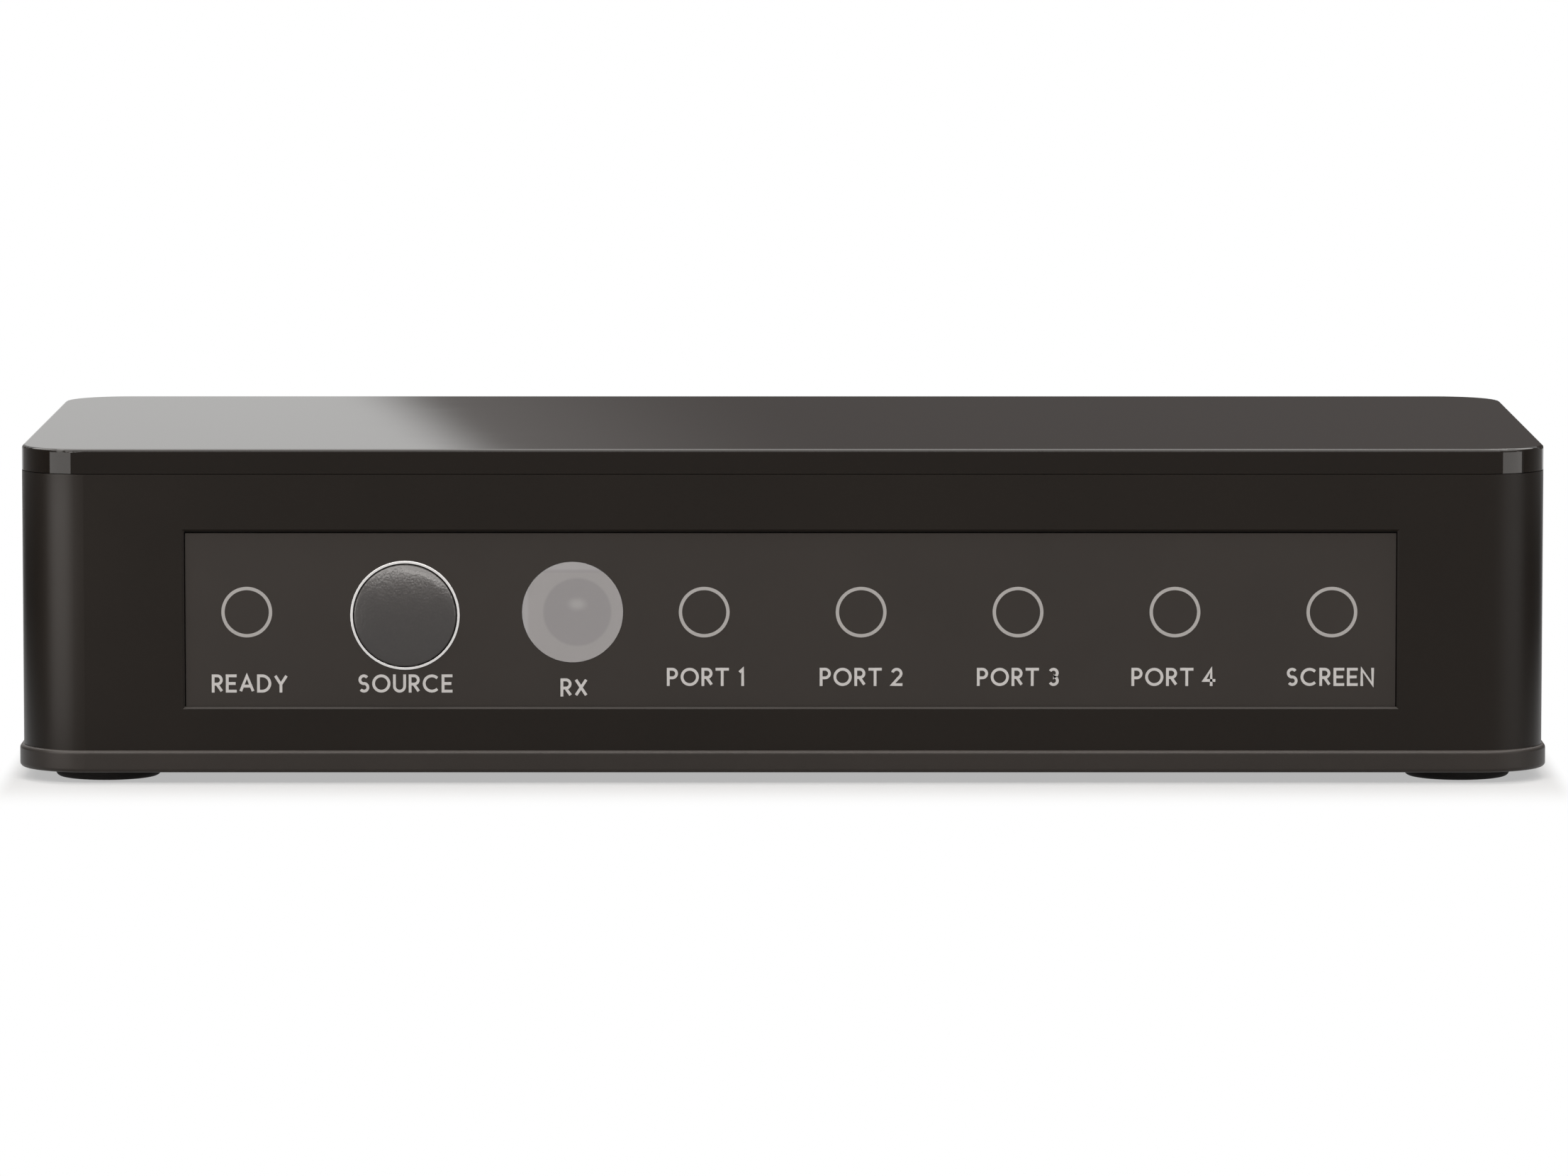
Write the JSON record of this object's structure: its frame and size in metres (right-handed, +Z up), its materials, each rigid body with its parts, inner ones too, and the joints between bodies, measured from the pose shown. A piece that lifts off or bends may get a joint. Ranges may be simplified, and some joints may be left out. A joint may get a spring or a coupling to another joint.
{
  "type": "hdmi switch box",
  "caption": "Flat video switch box with a gloss cover over a matt case, a recessed front panel with a push button, lamp rings and an infrared window, and sockets at the back.",
  "frame": {"origin": "on the table plane, under the middle of the box's outline", "axes": "+X to the right as seen from the front, +Y from the front panel to the sockets, +Z up"},
  "size_m": [0.1156, 0.0532, 0.0253],
  "materials": {
    "gloss_cover": "smooth gloss moulding",
    "matt_case": "fine matt moulding",
    "matt_base": "fine matt moulding",
    "panel_sheet": "printed plastic sheet",
    "button_cap": "fine grained moulding",
    "satin_trim": "satin plated ring",
    "smoke_window": "milky smoked moulding",
    "foot_rubber": "soft matt rubber",
    "board_green": "solder mask on glass laminate",
    "plated_steel": "nickel plated sheet",
    "black_insulator": "black moulded insulator",
    "gold_contact": "gold plated strip",
    "tinned_lead": "tinned wire and sheet",
    "chip_black": "moulded chip body",
    "receiver_dark": "dark infrared-clear moulding",
    "lamp_clear": "clear moulded lamp",
    "can_aluminium": "drawn can",
    "ceramic_tan": "fired ceramic"
  },
  "bodies": {
    "case": {"top_cover": "gloss_cover", "wall_ring": "matt_case", "base_plate": "matt_base", "front_panel": "panel_sheet", "rear_plate": "matt_case", "button_trim_ring": "satin_trim", "ir_window": "smoke_window", "case_screws": "plated_steel", "main_board": "board_green", "hdmi_contacts": "gold_contact", "jack_body": "black_insulator", "jack_pin": "plated_steel", "jack_spring": "gold_contact", "tact_body": "black_insulator", "tact_frame": "plated_steel", "tact_terminals": "tinned_lead", "tact_snap_dome": "plated_steel", "ir_receiver": "receiver_dark", "ir_leads": "tinned_lead", "lamp_holders": "black_insulator", "lamp_leads": "tinned_lead", "switch_chip": "chip_black", "switch_chip_leads": "tinned_lead", "controller_chip": "chip_black", "controller_leads": "tinned_lead", "crystal": "plated_steel", "capacitor_can": "can_aluminium", "capacitor_base": "black_insulator", "regulator": "chip_black", "regulator_leads": "tinned_lead", "chip_resistors": "chip_black", "chip_capacitors": "ceramic_tan", "surge_arrays": "chip_black", "foot_front_left": "foot_rubber", "foot_front_right": "foot_rubber", "foot_rear_left": "foot_rubber", "foot_rear_right": "foot_rubber", "hdmi_shell_input_1": "plated_steel", "hdmi_tongue_input_1": "black_insulator", "hdmi_shell_input_2": "plated_steel", "hdmi_tongue_input_2": "black_insulator", "hdmi_shell_input_3": "plated_steel", "hdmi_tongue_input_3": "black_insulator", "hdmi_shell_input_4": "plated_steel", "hdmi_tongue_input_4": "black_insulator", "hdmi_shell_output": "plated_steel", "hdmi_tongue_output": "black_insulator", "lamp_power": "lamp_clear", "lamp_input_1": "lamp_clear", "lamp_input_2": "lamp_clear", "lamp_input_3": "lamp_clear", "lamp_input_4": "lamp_clear", "lamp_output": "lamp_clear"},
    "button": {"select_button": "button_cap"},
    "plunger": {"tact_plunger": "black_insulator"}
  },
  "joints": [
    {"name": "select_press", "type": "slide", "parent": "case", "child": "button", "axis": [0, 1, 0], "range_m": [0, 0.0005], "stiffness_N_per_m": 1600, "springref_m": -0.0005},
    {"name": "plunger_press", "type": "slide", "parent": "case", "child": "plunger", "axis": [0, 1, 0], "range_m": [0, 0.0005], "deforming": ["tact_snap_dome"]}
  ],
  "couplings": [
    {"joint": "plunger_press", "follows": "select_press", "ratio": 1}
  ]
}
